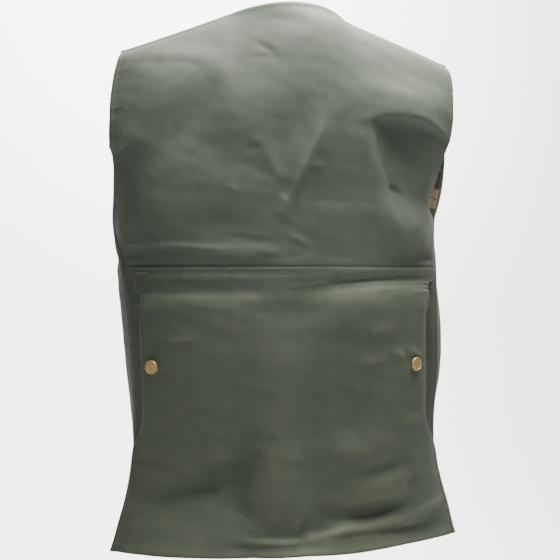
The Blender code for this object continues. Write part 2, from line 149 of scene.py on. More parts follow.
# Short rows of stitches on the back and on the pocket's band: x and z from, x and z to
BACK_ROWS = ((0.0647, -0.1985, 0.0797, -0.1979), (0.0662, -0.2016, 0.0782, -0.2010))
POCKET_ROWS = ((-0.091, -0.2945, -0.022, -0.2940), (-0.091, -0.2985, -0.022, -0.2980))

# A stitch's rings: place along it, width and height, as shares of its length and of the thread
STITCH_RINGS = (
    (-0.50, 0.30, -0.90), (-0.34, 0.85, 0.00), (0.00, 1.00, 0.25), (0.34, 0.85, 0.00), (0.50, 0.30, -0.90),
)

Crease = namedtuple("Crease", "x_from z_from x_to z_to bow above below stand peak")


def in_metres(*rows):
    """Creases from rows of millimetres that end in the share of the peak."""
    return [Crease(*(value / 1000 for value in row[:-1]), row[-1]) for row in rows]


# Creases of the back above the pocket, in millimetres, each from its left end to its right end. Bow
# is how far the middle of the line lies above the straight one, above and below are its half widths
# on either side, stand is how far the cloth comes out, or goes in where it is negative, and peak is
# the share of the run where it does so most.
BACK_CREASES = in_metres(
    (-214, -38, -120, -42, 2, 10, 12, -1.4, 0.5),
    (-228, -188, -100, -66, 0, 22, 50, -6.6, 0.55),
    (-244, -142, -196, -126, 2, 26, 12, 3.4, 0.3),
    (-240, -140, -208, -137, 1, 4, 4, 1.4, 0.2),
    (-250, -240, -100, -230, 4, 50, 24, 3, 0.45),
    (-40, -224, 22, -92, 0, 6, 8, 2.6, 0.42),
    (-52, -214, -22, -224, 0, 14, 8, 1.6, 0.5),
    (-6, -166, 18, -162, 1, 5, 5, 1.2, 0.5),
    (-108, -160, -28, -200, 1, 7, 22, 1.5, 0.6),
    (-62, -130, -41, -188, 1, 8, 6, 1, 0.6),
    (-108, -188, -86, -199, 1, 4, 5, 0.6, 0.5),
    (-45, -197, -26, -215, 1, 4, 4, 1.1, 0.5),
    (-84, -147, -58, -142, 2, 5, 5, -1, 0.4),
    (-42, -234, -16, -238, 0, 4, 5, -0.8, 0.4),
    (-70, -5, -38, -32, 1, 3.2, 3.4, -1.1, 0.55),
    (-58, -14, -36, -24, 0, 3, 3, -0.6, 0.4),
    (-82, -30, -30, -31, 1, 3, 4, -0.7, 0.5),
    (-26, -207, 96, -206, 1, 18, 6, -0.8, 0.5),
    (-226, -156, 10, -190, 4, 40, 50, -3.2, 0.4),
    (80, -88, 138, -238, -2, 45, 13, -9.4, 0.5),
    (70, -110, 216, -130, 22, 24, 8, 4.2, 0.48),
    (56, -108, 206, -126, 20, 14, 6, 3.8, 0.45),
    (112, -196, 232, -204, 0, 22, 24, -7.4, 0.6),
    (78, -190, 156, -296, 6, 30, 34, 5.4, 0.5),
    (104, -189, 136, -197, 1, 8, 5, -2.4, 0.5),
    (10, -84, 226, -80, 0, 56, 20, 2.6, 0.55),
    (-250, -34, -90, -30, 0, 20, 60, 5.8, 0.42),
    (40, -232, 120, -256, 6, 16, 16, -0.5, 0.6),
    (-146, -247, -40, -256, 2, 3, 14, -0.7, 0.6),
    (-130, -248, 10, -254, 2, 30, 18, 2.2, 0.55),
    (-222, -258, -80, -265, -1, 2.7, 3.2, 1.6, 0.35),
    (-80, -261, -10, -283, 1, 4, 4.5, 0.5, 0.35),
    (-36, -246, 4, -266, 3, 4, 3.6, 1.3, 0.5),
    (-20, -277, 10, -275, 0, 3.5, 3.5, 0.8, 0.5),
    (112, -272, 196, -281, 1, 4.5, 4.5, -1.6, 0.75),
    (-256, -275, -192, -277, 0, 10, 10, -4, 0.25),
    (-70, 16, 10, 22, 2, 14, 12, -1.2, 0.4),
)

# Creases of the game pocket
POCKET_CREASES = in_metres(
    (-246, -298, 10, -299, 0, 4, 22, 1.2, 0.45),
    (-226, -319, -36, -321, 0, 2.6, 4.2, -0.5, 0.4),
    (-220, -328, -120, -326.5, 0, 8, 18, 1.5, 0.4),
    (-166, -324, -92, -326, 1, 6, 13, 0.8, 0.5),
    (-110, -325, -54, -330, 2, 6, 14, 1, 0.55),
    (-106, -316, 30, -314, 0, 20, 32, 1.4, 0.5),
    (-92, -342, 44, -340, 0, 22, 34, -4.8, 0.52),
    (-60, -300, 220, -286, 3, 4, 20, 1.4, 0.6),
    (-46, -318, 206, -299, 4, 2.8, 6, -1.2, 0.6),
    (-20, -328, 200, -317, 4, 14, 20, 4.4, 0.58),
    (124, -319.5, 172, -318.5, 0, 3.5, 3.5, 1, 0.7),
    (130, -329, 172, -327.5, 0, 3.5, 3.5, 0.9, 0.7),
    (126, -338, 172, -336, 0, 3.5, 3.5, 0.9, 0.7),
    (-206, -338, -174, -335, 1, 4, 4, 1.1, 0.4),
    (-182, -377, -130, -375, 0, 5, 5, 0.9, 0.5),
    (50, -373, 124, -362, 1, 10, 12, 1.7, 0.6),
    (122, -386, 160, -403, 1, 3.6, 4, 1.9, 0.66),
    (104, -387, 134, -405, 1, 5, 6, 1.6, 0.6),
    (46, -406, 110, -404, 1, 7, 8, 1.4, 0.6),
    (108, -488, 172, -474, 1, 7, 9, 1.7, 0.6),
    (16, -519, 94, -514, 1, 12, 12, 2, 0.5),
    (-100, -499, 136, -488, 2, 28, 16, -3.2, 0.6),
    (-206, -527, -152, -532, 0, 8, 8, -1.4, 0.4),
    (-218, -588, -46, -526, -4, 26, 32, -11.2, 0.52),
    (-166, -566, -104, -562, 1, 10, 7, -2.4, 0.5),
    (-110, -540, -50, -512, 0, 10, 8, -1.6, 0.5),
    (-226, -554, -158, -596, 0, 11, 11, -1.8, 0.4),
    (-250, -648, -64, -646, 0, 42, 20, 12, 0.52),
    (-88, -552, 10, -552, 0, 160, 62, 7.4, 0.5),
    (-92, -590, -52, -625, 1, 8, 6, 0.9, 0.55),
    (-90, -618, 8, -621, 0, 24, 5, -7.4, 0.56),
    (-124, -631, 30, -632, 0, 5, 10, -3, 0.6),
    (-8, -633, 1, -592, 0, 6, 4, -3, 0.3),
    (-12, -622, 90, -617, 2, 9, 4, 1.6, 0.45),
    (30, -616, 186, -617, 0, 9, 5, 1.6, 0.5),
    (-30, -624, 244, -623, 0, 6, 16, -3, 0.5),
    (-150, -648, 250, -645, 0, 15, 10, 6.6, 0.48),
    (116, -622, 230, -590, 3, 9, 8, 3.4, 0.55),
    (-4, -588, 156, -586, -14, 16, 13, -10, 0.56),
    (-4, -618, 60, -608, 0, 18, 6, -5.2, 0.46),
    (0, -570, 170, -562, -6, 56, 18, 4.6, 0.5),
    (-14, -608, 44, -620, -2, 20, 8, -3, 0.4),
    (36, -548, 152, -536, -3, 11, 10, -4, 0.6),
    (134, -569, 168, -561, 0, 9, 8, -2.2, 0.5),
)

# Creases of the two fronts, which the photograph hides: like those behind, and as uneven
FRONT_LEFT_CREASES = in_metres(
    (-204, -170, -80, -60, -4, 24, 22, -6, 0.45),
    (-224, -110, -160, -100, 2, 16, 14, 2.6, 0.3),
    (-164, -206, -88, -128, 3, 10, 12, 1.8, 0.5),
    (-112, -236, -58, -176, 2, 7, 8, 1.4, 0.5),
    (-204, -250, -60, -266, 3, 5, 4.5, 2.1, 0.4),
    (-150, -268, -40, -288, 2, 5, 5, 1.6, 0.45),
    (-256, -276, -190, -278, 0, 10, 10, -4, 0.2),
    (-206, -312, -104, -326, 2, 8, 12, 1.6, 0.4),
    (-126, -350, -36, -334, 2, 10, 10, -1.4, 0.6),
    (-198, -398, -100, -424, 4, 9, 12, 1.4, 0.3),
    (-150, -472, -40, -418, 3, 14, 14, -2.2, 0.5),
    (-200, -520, -84, -536, 3, 10, 10, -2.4, 0.4),
    (-180, -590, -60, -548, -3, 18, 18, -4, 0.45),
    (-112, -574, -86, -630, 1, 9, 9, -2.4, 0.6),
    (-216, -636, -120, -626, 2, 30, 12, 3.6, 0.45),
    (-96, -634, -34, -626, 2, 8, 6, 2.2, 0.5),
)
FRONT_RIGHT_CREASES = in_metres(
    (74, -92, 166, -196, -5, 34, 14, -6.4, 0.45),
    (70, -104, 200, -118, 18, 14, 10, 3.4, 0.45),
    (92, -190, 156, -270, 5, 24, 10, 3.6, 0.5),
    (40, -240, 100, -180, 3, 8, 8, 1.4, 0.5),
    (60, -288, 200, -258, 3, 5, 5, 2, 0.6),
    (70, -300, 180, -278, 2, 5, 6, -1.4, 0.55),
    (50, -334, 150, -354, 3, 10, 12, -1.4, 0.5),
    (110, -394, 200, -368, 3, 9, 12, 1.5, 0.6),
    (40, -440, 130, -410, 4, 11, 12, 1.3, 0.5),
    (84, -516, 196, -468, -3, 16, 16, -3.4, 0.5),
    (48, -540, 150, -562, -3, 12, 12, -2.6, 0.5),
    (116, -576, 140, -632, 1, 9, 9, -2.2, 0.6),
    (40, -612, 120, -590, 3, 14, 8, 2.6, 0.5),
    (124, -618, 214, -630, 3, 24, 10, 3.4, 0.6),
)

STUD_NODES = [name for name in sorted(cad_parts) if "stud" in name]

# A press stud's cap, from its skirt to its middle: shares of the radius, and heights in metres
CAP_OUTLINE = (
    (0.93, -0.0016), (0.97, -0.0006), (1.00, 0.0004), (1.01, 0.0014), (1.00, 0.0021), (0.97, 0.0026),
    (0.93, 0.00285), (0.89, 0.0028), (0.86, 0.0025), (0.84, 0.0021), (0.81, 0.0020), (0.77, 0.00235),
    (0.70, 0.0026), (0.55, 0.0027), (0.40, 0.0027), (0.25, 0.00265), (0.10, 0.0026),
)
CAP_RADIUS = 0.0085
CENTRE_SHARE = 0.83

# The studio, in metres: a pale floor that curves up into a wall, and soft lights
FLOOR_DROP = 0.90
FLOOR_SIZE = 12.0
WALL_AWAY = 4.2
WALL_HEIGHT = 5.0
BEND = 1.2
BEND_STEPS = 16
NEAR = 0.01
Lamp = namedtuple("Lamp", "name place aim size power colour")
LAMPS = (
    Lamp("top_light", (0.20, -0.50, 1.40), (0.0, -0.05, -0.20), 0.90, 102.0, (1.0, 0.99, 0.95)),
    Lamp("rim_light", (0.32, 0.22, 0.80), (0.08, -0.05, -0.02), 0.50, 42.0, (1.0, 0.99, 0.95)),
    Lamp("front_light", (-0.8, -2.7, 0.5), (0.0, 0.0, -0.35), 1.60, 18.0, (0.97, 0.98, 1.0)),
    Lamp("wall_light", (0.6, 2.0, 1.6), (0.9, 4.2, -0.3), 1.60, 560.0, (1.0, 1.0, 1.0)),
)
SKY_STRENGTH = 0.065
SKY_COLOUR = (0.95, 0.98, 1.0)

# Cloths by node and stitches that wait for their mesh, both filled as the steps run
CLOTHS = {}
SEWN = []


class GiletSizes(bpy.types.PropertyGroup):
    """Sizes of the cloth's surface, its sewing and its studs."""

    mesh_step: bpy.props.FloatProperty(
        name="Mesh step", description="Distance between the cloth's points", default=0.0028, unit="LENGTH"
    )
    crease_strength: bpy.props.FloatProperty(
        name="Creases", description="How deep the creases are, as a share of their own depth", default=1.3
    )
    sway: bpy.props.FloatProperty(
        name="Sway", description="How far the cloth swells and sinks at random", default=0.0011, unit="LENGTH"
    )
    drag: bpy.props.FloatProperty(
        name="Drag", description="Height of the small folds that run across", default=0.00045, unit="LENGTH"
    )
    crumple: bpy.props.FloatProperty(
        name="Crumple", description="Height of the small unevenness", default=0.00022, unit="LENGTH"
    )
    turned_edge: bpy.props.FloatProperty(
        name="Turned edge", description="Width of the edges that are turned in", default=0.0070, unit="LENGTH"
    )
    edge_swell: bpy.props.FloatProperty(
        name="Edge swell", description="How much thicker a turned edge is", default=0.0005, unit="LENGTH"
    )
    pucker: bpy.props.FloatProperty(
        name="Pucker", description="Height of the puckers along a seam", default=0.00045, unit="LENGTH"
    )
    pucker_pitch: bpy.props.FloatProperty(
        name="Pucker pitch", description="Distance from one pucker to the next", default=0.0085, unit="LENGTH"
    )
    stitch: bpy.props.FloatProperty(
        name="Stitch", description="Length of a stitch with the gap after it", default=0.0031, unit="LENGTH"
    )
    thread: bpy.props.FloatProperty(
        name="Thread", description="Thickness of the sewing thread", default=0.00062, unit="LENGTH"
    )
    check: bpy.props.FloatProperty(
        name="Check", description="Repeat of the lining's check", default=0.0740, unit="LENGTH"
    )


class GiletColours(bpy.types.PropertyGroup):
    """Colours of the cloths, the thread and the metal."""

    cloth: bpy.props.FloatVectorProperty(
        name="Cloth", description="The olive shell", subtype="COLOR", default=(0.069, 0.083, 0.064)
    )
    cloth_worn: bpy.props.FloatVectorProperty(
        name="Worn cloth", description="The shell when rubbed", subtype="COLOR", default=(0.114, 0.132, 0.098)
    )
    pocket_worn: bpy.props.FloatVectorProperty(
        name="Worn pocket", description="The pocket rubbed", subtype="COLOR", default=(0.122, 0.136, 0.084)
    )
    pocket: bpy.props.FloatVectorProperty(
        name="Pocket", description="The pocket's cloth", subtype="COLOR", default=(0.065, 0.079, 0.059)
    )
    thread: bpy.props.FloatVectorProperty(
        name="Thread", description="The sewing thread", subtype="COLOR", default=(0.088, 0.100, 0.068)
    )
    lining: bpy.props.FloatVectorProperty(
        name="Lining", description="The lining's brown ground", subtype="COLOR", default=(0.060, 0.036, 0.020)
    )
    lining_band: bpy.props.FloatVectorProperty(
        name="Check band", description="Its cream bands", subtype="COLOR", default=(0.34, 0.27, 0.17)
    )
    brass: bpy.props.FloatVectorProperty(
        name="Brass", description="The studs' raised rims", subtype="COLOR", default=(0.56, 0.44, 0.23)
    )
    copper: bpy.props.FloatVectorProperty(
        name="Stud centre", description="The studs' sunk centres", subtype="COLOR", default=(0.64, 0.45, 0.21)
    )


def sizes():
    return bpy.context.scene.gilet_sizes


def colours():
    return bpy.context.scene.gilet_colours


def unit(v):
    return v / np.maximum(np.linalg.norm(v, axis=-1, keepdims=True), 1e-12)


def eased(share):
    """A share from nought to one that starts and ends softly."""
    return share * share * (3 - 2 * share)


def wall_sides(node, rim_width):
    """The two broad sides of a packed wall as grids of points, rows from the hem up: outer, then inner."""
    build = bmesh.new()
    build.from_mesh(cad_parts[node].data)
    bmesh.ops.remove_doubles(build, verts=build.verts, dist=MERGE)
    rim = [f for f in build.faces if min(e.calc_length() for e in f.edges) < rim_width]
    bmesh.ops.delete(build, geom=rim, context="FACES")
    outward = -1 if node in ("back", "game_pocket") else 1
    grids = []
    left = set(build.verts)
    while left:
        found = {left.pop()}
        wave = list(found)
        while wave:
            near = {e.other_vert(v) for v in wave for e in v.link_edges} - found
            found |= near
            wave = list(near)
        left -= found
        faces = {f for v in found for f in v.link_faces}
        facing = sum(f.normal.y * f.calc_area() for f in faces) * outward
        grids.append((facing, ordered_grid(found)))
    build.free()
    grids.sort(key=lambda pair: -pair[0])
    return grids[0][1], grids[1][1]


def ordered_grid(verts):
    """A triangulated grid's points by row and column: the first row is the hem's, from -X to +X."""
    edge_of = {v: [e.other_vert(v) for e in v.link_edges if len(e.link_faces) == 1] for v in verts}
    corners = [v for v in verts if len(v.link_faces) < 3]
    low = sorted(corners, key=lambda v: v.co.z)[:2]
    start, end = sorted(low, key=lambda v: v.co.x)

    def walk(first, second):
        path = [first, second]
        while path[-1] not in corners:
            path.append(next(v for v in edge_of[path[-1]] if v is not path[-2]))
        return path

    paths = [walk(start, second) for second in edge_of[start]]
    row = next(path for path in paths if path[-1] is end)
    side = next(path for path in paths if path[-1] is not end)
    rows = [row]
    seen = set(row)
    for first in side[1:]:
        new = [first]
        seen.add(first)
        for below in rows[-1][1:]:
            near = {e.other_vert(below) for e in below.link_edges}
            beside = {e.other_vert(new[-1]) for e in new[-1].link_edges}
            following = next(iter(beside & near - seen))
            new.append(following)
            seen.add(following)
        rows.append(new)
    return np.array([[v.co[:] for v in row] for row in rows])


def curve_read(points, places):
    """Points on the smooth curves through the first axis of points, at fractional places along it."""
    chord = np.maximum(np.linalg.norm(np.diff(points, axis=0), axis=-1, keepdims=True), 1e-9)
    slope = np.diff(points, axis=0) / chord
    share = chord[1:] / (chord[1:] + chord[:-1])
    inner = slope[:-1] * share + slope[1:] * (1 - share)
    tangent = np.concatenate([slope[:1], inner, slope[-1:]])
    k = np.clip(np.floor(places).astype(int), 0, len(points) - 2)
    t = (places - k).reshape([-1] + [1] * (points.ndim - 1))
    h = chord[k]
    start = (1 + 2 * t) * (1 - t) ** 2 * points[k] + t * (1 - t) ** 2 * h * tangent[k]
    end = t * t * (3 - 2 * t) * points[k + 1] - t * t * (1 - t) * h * tangent[k + 1]
    return start + end


def line_read(points, places):
    k = np.clip(np.floor(places).astype(int), 0, len(points) - 2)
    t = (places - k).reshape([-1] + [1] * (points.ndim - 1))
    return points[k] * (1 - t) + points[k + 1] * t


def running(points, axis):
    """Length run along a line, or each row or column of a grid, from its first point."""
    step = np.linalg.norm(np.diff(points, axis=axis), axis=-1)
    zero = np.zeros_like(np.take(step, [0], axis=axis))
    return np.concatenate([zero, np.cumsum(step, axis=axis)], axis=axis)


def even_places(line, count):
    """Fractional places that share a line of points into equal lengths."""
    length = running(line, 0)
    return np.interp(np.linspace(0, length[-1], count), length, np.arange(len(line)))


def between(places, length, points):
    """Points or normals at places along a line whose own points lie at these lengths."""
    return np.stack([np.interp(places, length, points[:, k]) for k in range(3)], axis=-1)


def new_piece(name, mesh):
    """Adds a smooth piece with this mesh, riding the one body."""
    mesh.shade_smooth()
    piece = bpy.data.objects.new(name, mesh)
    bpy.context.scene.collection.objects.link(piece)
    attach(piece, "root")
    return piece


class Cloth:
    """A piece of cloth as a fine grid on its solid's outer face, with the way through its wall."""

    def __init__(self, node):
        self.node = node
        CLOTHS[node] = self
        outer, inner = wall_sides(node, LINING_RIM if "lining" in node else SHELL_RIM)
        through = inner - outer
        step = sizes().mesh_step
        across = int(np.median(running(outer, 1)[:, -1]) / step) + 1
        up = int(np.median(running(outer, 0)[-1]) / step) + 1
        wide, wide_through = [], []
        for row, way in zip(outer, through):
            places = even_places(row, across)
            wide.append(curve_read(row, places))
            wide_through.append(line_read(way, places))
        places = np.linspace(0, len(outer) - 1, up)
        self.outer = curve_read(np.array(wide), places)
        self.through = line_read(np.array(wide_through), places)
        face = unit(np.cross(np.gradient(self.outer, axis=1), np.gradient(self.outer, axis=0)))
        self.normal = face * -np.sign(np.sum(face * self.through, axis=-1, keepdims=True))
        self.from_first = running(self.outer, 1)
        self.from_last = self.from_first[:, -1:] - self.from_first
        self.from_hem = running(self.outer, 0)
        self.from_top = self.from_hem[-1:] - self.from_hem
        # The last of these holds the colour's rubbed wear, which lightens it, and painted shade, which
        # darkens it below nought.
        self.push, self.swell, self.worn = np.zeros((3, *self.outer.shape[:2]))

    def away(self, side):
        """Length of cloth from one of its four sides: first, last, hem or top."""
        return getattr(self, "from_" + side)

    def gap(self, x, z):
        """How far each point lies from a place, as seen from behind."""
        return np.hypot(self.outer[..., 0] - x, self.outer[..., 2] - z)

    def crease(self, creases):
        """Pushes the cloth out or in along listed lines, which fade and narrow to their ends."""
        for c in creases:
            start, end = np.array([c.x_from, c.z_from]), np.array([c.x_to, c.z_to])
            run = end - start
            length = np.linalg.norm(run)
            along = run / length
            left = np.array([-along[1], along[0]])
            place = self.outer[..., [0, 2]] - start
            share = np.clip(place @ along / length, 0, 1)
            bowed = place @ left - c.bow * (1 - (2 * share - 1) ** 2)
            fade = np.sin(pi * share ** (np.log(0.5) / np.log(c.peak)))
            width = np.where(bowed > 0, c.above, c.below) * (END_WIDTH + (1 - END_WIDTH) * fade)
            crest = np.exp(-(np.abs(bowed / width) ** CREST_POWER))
            self.push += c.stand * sizes().crease_strength * fade**FADE_POWER * crest

    def sway_about(self, seed):
        """Adds the slow swelling of hanging cloth, its drag across, and its fine unevenness."""
        shift = Vector([seed * value for value in SEED_SHIFT])
        for j, row in enumerate(self.outer):
            for i, p in enumerate(row):
                place = Vector(p)
                slow = noise.noise(place * SLOW_SCALE + shift)
                leaning = (place.z + DRAG_LEAN * place.x) * DRAG_UP
                drag = noise.noise(Vector((place.x * DRAG_ACROSS, place.y * DRAG_ACROSS, leaning)) + shift)
                fine = noise.noise(place * FINE_SCALE + shift)
                swell = slow * sizes().sway + drag * sizes().drag
                self.push[j, i] += swell + fine * sizes().crumple

    def edge(self, side, width=None, swell=None, pucker=1.0, seed=0.0):
        """A turned and stitched edge: thicker cloth, a dip along its stitching and small puckers."""
        distance = self.away(side)
        run = self.from_hem if side in ("first", "last") else self.from_first
        width = sizes().turned_edge if width is None else width
        swell = sizes().edge_swell if swell is None else swell
        band = eased(np.clip((width - distance) / (width * THINNING), 0, 1))
        dip = np.exp(-(((distance - width * DIP_AT) / DIP_WIDTH) ** 2))
        self.swell += swell * band
        self.push += swell * LIFT * band - DIP_DEPTH * dip
        phase = run / sizes().pucker_pitch * 2 * pi
        wander = sum(size * np.sin(phase * rate + turn * seed) for size, rate, turn in PUCKER_WANDER)
        strength = 0.55 + 0.45 * np.sin(phase * 0.137 + seed * 1.7)
        reach = np.exp(-(((distance - width) / (width * 0.9)) ** 2))
        self.push += sizes().pucker * pucker * reach * strength * np.sin(phase + wander)
        self.worn += WORN_SHARE * np.clip(1 - distance / WORN_RIM, 0, 1)

    def armhole_pucker(self):
        """Strong puckers along an armhole, and weak ones along the seam below it."""
        above = np.clip((self.outer[..., 2] - UNDERARM) / STEP_HEIGHT, 0, 1)
        return above * ARMHOLE_STEP + SEAM_PUCKER

    def paint_shade(self, distance, width, share):
        """Darkens the cloth's colour near a line with painted shade, as a painted shadow beside a seam or an
        edge.
        """
        self.worn -= share * np.exp(-((distance / width) ** 2))

    def dimple(self, stud, depth):
        """Draws the cloth in round a stud, with a few folds that run out from it."""
        centre, _ = stud_place(stud)
        away = self.outer - centre
        distance = np.linalg.norm(away, axis=-1)
        turn = np.arctan2(away[..., 2], away[..., 0])
        rays = sum(size * np.sin(n * turn + centre[axis] * by) for size, n, axis, by in DIMPLE_FOLDS)
        ring = np.exp(-((distance / DIMPLE_RADIUS) ** 2))
        outside = np.exp(-(((distance - DIMPLE_RADIUS * 1.5) / DIMPLE_RADIUS) ** 2))
        self.push += -depth * ring + depth * rays * outside

    def layers(self):
        """Points of the finished wall's outer and inner faces."""
        push = self.push[..., None]
        outer = self.outer + self.normal * (push + self.swell[..., None] * 0.5)
        inner = self.outer + self.through + self.normal * (push - self.swell[..., None] * 0.5)
        return outer, inner

    def finish(self, outside, inside):
        outer, inner = self.layers()
        rows, columns = outer.shape[:2]
        middle = (outer + inner) / 2
        index = np.arange(rows * columns).reshape(rows, columns)
        ring = np.concatenate([index[0, :-1], index[:-1, -1], index[-1, :0:-1], index[:0:-1, 0]])
        up, across = np.gradient(outer, axis=0), np.gradient(outer, axis=1)
        off = np.zeros_like(outer)
        off[0] -= unit(up)[0]
        off[-1] += unit(up)[-1]
        off[:, 0] -= unit(across)[:, 0]
        off[:, -1] += unit(across)[:, -1]
        rim = (middle + unit(off) * RIM_ROUND).reshape(-1, 3)[ring]
        points = np.concatenate([outer.reshape(-1, 3), inner.reshape(-1, 3), rim])
        count = rows * columns
        a, b = index[:-1, :-1].ravel(), index[:-1, 1:].ravel()
        c, d = index[1:, 1:].ravel(), index[1:, :-1].ravel()
        top = np.stack([a, b, c, d], axis=1)
        under = np.stack([a, d, c, b], axis=1) + count
        following = np.roll(ring, -1)
        rim_at = 2 * count + np.arange(len(ring))
        rim_next = np.roll(rim_at, -1)
        upper = np.stack([following, ring, rim_at, rim_next], axis=1)
        lower = np.stack([rim_next, rim_at, ring + count, following + count], axis=1)
        faces = np.concatenate([top, under, upper, lower])
        spread = np.cross(across, up)
        if np.sum(spread * self.normal) < 0:
            faces = faces[:, ::-1]
        name = self.node + "_panel"
        mesh = bpy.data.meshes.new(name)
        mesh.from_pydata(points.tolist(), [], faces.tolist())
        mesh.materials.append(outside)
        mesh.materials.append(inside)
        slots = np.zeros(len(faces), int)
        slots[len(top) : 2 * len(top)] = 1
        mesh.polygons.foreach_set("material_index", slots.astype(np.int32))
        across_at = self.from_first - self.from_first[:, -1:] / 2
        flat = np.stack([across_at, self.from_hem], axis=-1).reshape(-1, 2)
        both = np.concatenate([flat, flat, flat[ring]])
        corner = np.zeros(len(mesh.loops), np.int32)
        mesh.loops.foreach_get("vertex_index", corner)
        mesh.uv_layers.new(name="cloth").data.foreach_set("uv", both[corner].astype(np.float32).ravel())
        # Rubbed wear on edges and crests lightens the colour; values below nought are painted shade.
        worn = np.clip(self.worn + self.rubbed(), -1, 1).ravel()
        layer = mesh.attributes.new("worn", "FLOAT", "POINT")
        layer.data.foreach_set("value", np.concatenate([worn, worn * 0, worn[ring]]).astype(np.float32))
        piece = new_piece(name, mesh)
        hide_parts(self.node)

    def rubbed(self):
        """Wear on the crests of the creases, where the cloth stands out of its surroundings."""
        soft = self.push.copy()
        for _ in range(SOFTENINGS):
            padded = np.pad(soft, 1, mode="edge")
            soft = (padded[:-2, 1:-1] + padded[2:, 1:-1] + padded[1:-1, :-2] + padded[1:-1, 2:]) / 4
        return np.clip((self.push - soft) / WORN_RISE, 0, 0.8)

    def follow(self, other, reach=None):
        """Takes on another cloth's push where this one lies against it, within reach of it."""
        known = other.outer.reshape(-1, 3)
        tree = KDTree(len(known))
        toward = np.sign(np.sum(other.normal * self.normal.mean(axis=(0, 1)), axis=-1))
        pushes = (other.push * toward).ravel()
        for k, p in enumerate(known):
            tree.insert(p, k)
        tree.balance()
        for j, row in enumerate(self.outer):
            for i, p in enumerate(row):
                near = tree.find_n(p, 3)
                weight = [1 / (distance + MERGE) for _, _, distance in near]
                push = sum(w * pushes[k] for w, (_, k, _) in zip(weight, near)) / sum(weight)
                share = 1.0
                if reach is not None:
                    aside = max(0.0, near[0][2] - reach)
                    share = max(0.0, 1 - aside / reach)
                self.push[j, i] += share * (push - self.push[j, i])

    def still_at_sides(self, level, sides=("first", "last")):
        """Lets the creases die out below a level toward the side seams, where the cloths are sewn."""
        below = np.clip((level - self.outer[..., 2]) / SEAM_REACH, 0, 1)
        for side in sides:
            share = np.clip(self.away(side) / SEAM_REACH, 0, 1)
            self.push *= 1 - below * (1 - eased(share))

    def still_at_top(self):
        """Lets the creases die out toward the neck and the shoulders."""
        self.push *= eased(np.clip(self.from_top / TOP_REACH, 0, 1))

    def sew_across(self, row, count, seed):
        """Sews a straight row, as seen from behind, led by this many points on the finished outer face."""
        outer, _ = self.layers()
        found, normals = [], []
        for share in np.linspace(0, 1, count):
            x = row[0] * (1 - share) + row[2] * share
            z = row[1] * (1 - share) + row[3] * share
            gap = self.gap(x, z).ravel()
            nearest = np.argsort(gap)[:4]
            weight = 1 / (gap[nearest] + MERGE)
            weight /= weight.sum()
            found.append(weight @ outer.reshape(-1, 3)[nearest])
            normals.append(weight @ self.normal.reshape(-1, 3)[nearest])
        sew_line(np.array(found), unit(np.array(normals)), seed)

    def sew_along(self, side, inset, seed, low=-inf, high=inf):
        """Sews a row this far in from one of the four sides, between two levels."""
        grids = (self.away(side), self.layers()[0], self.normal)
        if side in ("hem", "top"):
            grids = [np.swapaxes(grid, 0, 1) for grid in grids]
        points, normals = [], []
        for run, line, lean in zip(*grids):
            order = np.argsort(run)
            points.append(between(inset, run[order], line[order]))
            normals.append(between(inset, run[order], lean[order]))
        points = np.array(points)
        inside = (points[:, 2] > low) & (points[:, 2] <= high)
        sew_line(points[inside], unit(np.array(normals))[inside], seed)


def add_node(tree, kind, inputs=None, **settings):
    """A shader node with its settings, whose inputs are numbers or other nodes' outputs."""
    made = tree.nodes.new("ShaderNode" + kind)
    for key, value in settings.items():
        setattr(made, key, value)
    for key, value in (inputs or {}).items():
        if isinstance(value, bpy.types.NodeSocket):
            tree.links.new(value, made.inputs[key])
        else:
            made.inputs[key].default_value = value
    return made


def arithmetic(tree, operation, first, second, clamp=False):
    return add_node(tree, "Math", {0: first, 1: second}, operation=operation, use_clamp=clamp).outputs[0]


def noise_map(tree, place, scale, detail=2.0, rough=0.5):
    """A noise of this scale, between nought and one."""
    inputs = {"Vector": place, "Scale": scale, "Detail": detail, "Roughness": rough}
    return add_node(tree, "TexNoise", inputs).outputs[0]


def varied(tree, tone, pattern, share):
    """A tone that goes up and down with a pattern about its middle."""
    swing = arithmetic(tree, "MULTIPLY", arithmetic(tree, "SUBTRACT", pattern, 0.5), share)
    return arithmetic(tree, "ADD", tone, swing)


def stretched(tree, flat, across, up):
    """The cloth's flat coordinates, scaled across and up."""
    return add_node(tree, "Mapping", {"Vector": flat, "Scale": (across, up, 1.0)}).outputs[0]


def twill_wave(tree, flat, pitch):
    """The diagonal ribs of a twill."""
    inputs = {"Vector": flat, "Scale": 2 * pi / 10 / pitch, "Distortion": 0.6, "Detail": 1.0}
    return add_node(tree, "TexWave", inputs, bands_direction="DIAGONAL").outputs["Fac"]


def blended(tree, factor, first, second):
    """The colour between two others."""
    made = tree.nodes.new("ShaderNodeMix")
    made.data_type = "RGBA"
    for socket, value in ((made.inputs[0], factor), (made.inputs[6], first), (made.inputs[7], second)):
        if isinstance(value, bpy.types.NodeSocket):
            tree.links.new(value, socket)
        elif isinstance(value, float):
            socket.default_value = value
        else:
            socket.default_value = (*value, 1.0)
    return made.outputs[2]


def new_material(name):
    material = bpy.data.materials.new(name)
    material.use_nodes = True
    return material, material.node_tree, material.node_tree.nodes["Principled BSDF"]


def bumps(tree, shader, layers):
    """Chains bumps: each layer is a height, its depth in metres and its strength."""
    normal = None
    for height, depth, strength in layers:
        inputs = {"Height": height, "Distance": depth, "Strength": strength}
        if normal is not None:
            inputs["Normal"] = normal
        normal = add_node(tree, "Bump", inputs).outputs[0]
    tree.links.new(normal, shader.inputs["Normal"])


